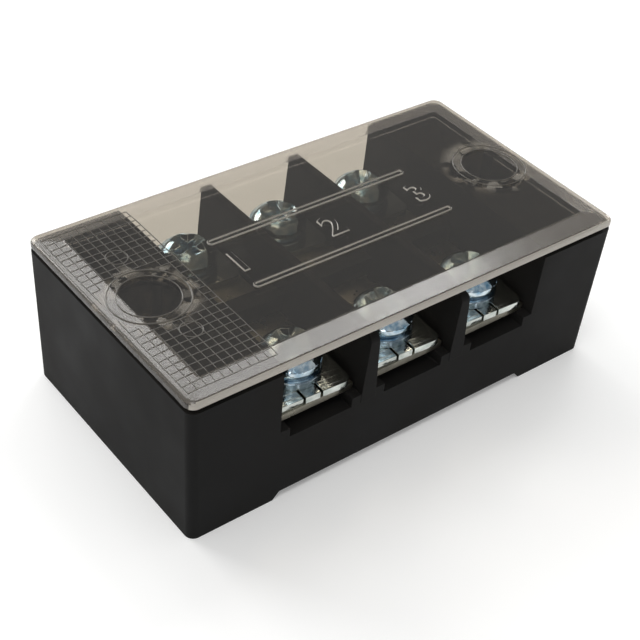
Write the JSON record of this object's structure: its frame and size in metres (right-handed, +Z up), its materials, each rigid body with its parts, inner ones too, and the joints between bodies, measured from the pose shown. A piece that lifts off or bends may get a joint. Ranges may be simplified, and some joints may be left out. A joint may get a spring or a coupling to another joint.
{
  "type": "barrier terminal strip",
  "caption": "Dual-row barrier terminal strip: moulded base with clamp screws on conductor bars, end fixing holes and a push-on clear cover.",
  "frame": {"origin": "centre of the strip's footprint, on the plane that its feet stand on", "axes": "+X along the row of poles (pole 1 at -X), +Y across the strip from the front wire side to the back one, +Z up towards the cover"},
  "size_m": [0.056, 0.03, 0.0189],
  "materials": {
    "base_plastic": "black moulded thermoplastic, fine satin grain",
    "cover_plastic": "smoke-clear moulded polycarbonate, glossy",
    "bar_metal": "nickel-plated brass strip",
    "plate_metal": "bright zinc-plated stamped steel",
    "washer_metal": "zinc-plated spring steel",
    "screw_metal": "bright zinc-plated steel with a blue passivate"
  },
  "bodies": {
    "base": {"base": "base_plastic", "conductor_bar_1": "bar_metal", "conductor_bar_2": "bar_metal", "conductor_bar_3": "bar_metal"},
    "cover": {"cover": "cover_plastic"},
    "clamp_front_1": {"clamp_plate_front_1": "plate_metal", "spring_washer_front_1": "washer_metal"},
    "screw_front_1": {"screw_front_1": "screw_metal"},
    "clamp_front_2": {"clamp_plate_front_2": "plate_metal", "spring_washer_front_2": "washer_metal"},
    "screw_front_2": {"screw_front_2": "screw_metal"},
    "clamp_front_3": {"clamp_plate_front_3": "plate_metal", "spring_washer_front_3": "washer_metal"},
    "screw_front_3": {"screw_front_3": "screw_metal"},
    "clamp_back_1": {"clamp_plate_back_1": "plate_metal", "spring_washer_back_1": "washer_metal"},
    "screw_back_1": {"screw_back_1": "screw_metal"},
    "clamp_back_2": {"clamp_plate_back_2": "plate_metal", "spring_washer_back_2": "washer_metal"},
    "screw_back_2": {"screw_back_2": "screw_metal"},
    "clamp_back_3": {"clamp_plate_back_3": "plate_metal", "spring_washer_back_3": "washer_metal"},
    "screw_back_3": {"screw_back_3": "screw_metal"}
  },
  "joints": [
    {"name": "cover_lift", "type": "slide", "parent": "base", "child": "cover", "axis": [0, 0, 1], "range_m": [0, 0.012]},
    {"name": "clamp_front_1_lift", "type": "slide", "parent": "base", "child": "clamp_front_1", "axis": [0, 0, 1], "range_m": [0, 0.0024]},
    {"name": "screw_front_1_turn", "type": "hinge", "parent": "clamp_front_1", "child": "screw_front_1", "pos_m": [-0.0121, -0.0093, 0.012], "axis": [0, 0, 1], "range_deg": [0, 1440]},
    {"name": "clamp_front_2_lift", "type": "slide", "parent": "base", "child": "clamp_front_2", "axis": [0, 0, 1], "range_m": [0, 0.0024]},
    {"name": "screw_front_2_turn", "type": "hinge", "parent": "clamp_front_2", "child": "screw_front_2", "pos_m": [0, -0.0093, 0.012], "axis": [0, 0, 1], "range_deg": [0, 1440]},
    {"name": "clamp_front_3_lift", "type": "slide", "parent": "base", "child": "clamp_front_3", "axis": [0, 0, 1], "range_m": [0, 0.0024]},
    {"name": "screw_front_3_turn", "type": "hinge", "parent": "clamp_front_3", "child": "screw_front_3", "pos_m": [0.0121, -0.0093, 0.012], "axis": [0, 0, 1], "range_deg": [0, 1440]},
    {"name": "clamp_back_1_lift", "type": "slide", "parent": "base", "child": "clamp_back_1", "axis": [0, 0, 1], "range_m": [0, 0.0024]},
    {"name": "screw_back_1_turn", "type": "hinge", "parent": "clamp_back_1", "child": "screw_back_1", "pos_m": [-0.0121, 0.0093, 0.012], "axis": [0, 0, 1], "range_deg": [0, 1440]},
    {"name": "clamp_back_2_lift", "type": "slide", "parent": "base", "child": "clamp_back_2", "axis": [0, 0, 1], "range_m": [0, 0.0024]},
    {"name": "screw_back_2_turn", "type": "hinge", "parent": "clamp_back_2", "child": "screw_back_2", "pos_m": [0, 0.0093, 0.012], "axis": [0, 0, 1], "range_deg": [0, 1440]},
    {"name": "clamp_back_3_lift", "type": "slide", "parent": "base", "child": "clamp_back_3", "axis": [0, 0, 1], "range_m": [0, 0.0024]},
    {"name": "screw_back_3_turn", "type": "hinge", "parent": "clamp_back_3", "child": "screw_back_3", "pos_m": [0.0121, 0.0093, 0.012], "axis": [0, 0, 1], "range_deg": [0, 1440]}
  ],
  "couplings": [
    {"joint": "screw_front_1_turn", "follows": "clamp_front_1_lift", "rad_per_m": 10472},
    {"joint": "screw_front_2_turn", "follows": "clamp_front_2_lift", "rad_per_m": 10472},
    {"joint": "screw_front_3_turn", "follows": "clamp_front_3_lift", "rad_per_m": 10472},
    {"joint": "screw_back_1_turn", "follows": "clamp_back_1_lift", "rad_per_m": 10472},
    {"joint": "screw_back_2_turn", "follows": "clamp_back_2_lift", "rad_per_m": 10472},
    {"joint": "screw_back_3_turn", "follows": "clamp_back_3_lift", "rad_per_m": 10472}
  ]
}
